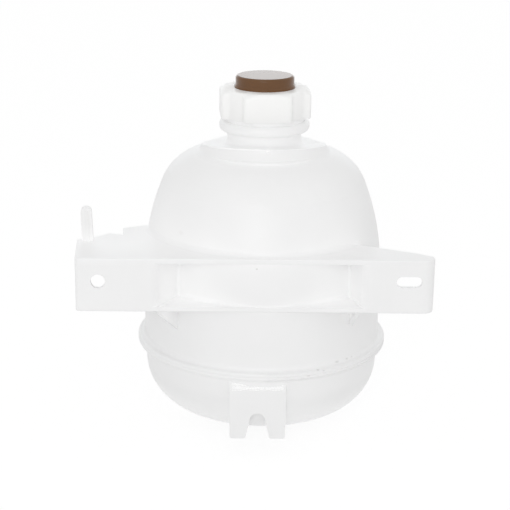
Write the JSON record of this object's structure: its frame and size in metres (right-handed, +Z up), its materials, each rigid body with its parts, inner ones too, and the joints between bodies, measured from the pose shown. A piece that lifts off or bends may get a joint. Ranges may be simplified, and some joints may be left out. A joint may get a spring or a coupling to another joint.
{
  "type": "coolant expansion tank",
  "caption": "Coolant expansion tank of welded translucent mouldings with bracket arms, a fork foot, hose stubs and a screw cap that holds sprung pressure and vacuum valves.",
  "frame": {"origin": "centre of the round bolt hole in the left arm, on the mounting face", "axes": "+Z up along the tank's axis, -Y out of the mounting face, +X from the round hole towards the slot"},
  "size_m": [0.2171, 0.1887, 0.2251],
  "materials": {
    "natural_polypropylene": "satin, slightly translucent",
    "white_cap_plastic": "satin",
    "brown_button_plastic": "polished",
    "black_insert_plastic": "satin",
    "seal_rubber": "matte",
    "spring_steel": "drawn wire",
    "plate_steel": "stamped",
    "poppet_brass": "turned"
  },
  "bodies": {
    "tank": {"upper_tank": "natural_polypropylene", "arm_bracket": "natural_polypropylene", "lower_tank": "natural_polypropylene"},
    "valve_unit": {"valve_housing": "black_insert_plastic", "neck_o_ring": "seal_rubber", "valve_seat": "black_insert_plastic", "pressure_spring": "spring_steel"},
    "cap": {"cap_shell": "white_cap_plastic", "cap_button": "brown_button_plastic"},
    "pressure_valve": {"pressure_plate": "plate_steel", "pressure_seal": "seal_rubber", "vacuum_spring": "spring_steel"},
    "vacuum_valve": {"vacuum_poppet": "poppet_brass", "vacuum_seal": "seal_rubber", "vacuum_keeper": "plate_steel"}
  },
  "joints": [
    {"name": "cap_lift", "type": "slide", "parent": "tank", "child": "valve_unit", "axis": [0, 0, 1], "range_m": [0, 0.009]},
    {"name": "cap_turn", "type": "hinge", "parent": "valve_unit", "child": "cap", "pos_m": [0.0999, 0.077, 0.0902], "axis": [0, 0, 1], "range_deg": [0, 800]},
    {"name": "pressure_lift", "type": "slide", "parent": "valve_unit", "child": "pressure_valve", "axis": [0, 0, 1], "range_m": [0, 0.0025], "stiffness_N_per_m": 3000, "springref_m": -0.005, "deforming": ["pressure_spring"]},
    {"name": "vacuum_drop", "type": "slide", "parent": "pressure_valve", "child": "vacuum_valve", "axis": [0, 0, -1], "range_m": [0, 0.0015], "stiffness_N_per_m": 200, "springref_m": -0.002, "deforming": ["vacuum_spring"]}
  ],
  "couplings": [
    {"joint": "cap_lift", "follows": "cap_turn", "m_per_rad": 0.00063662}
  ]
}
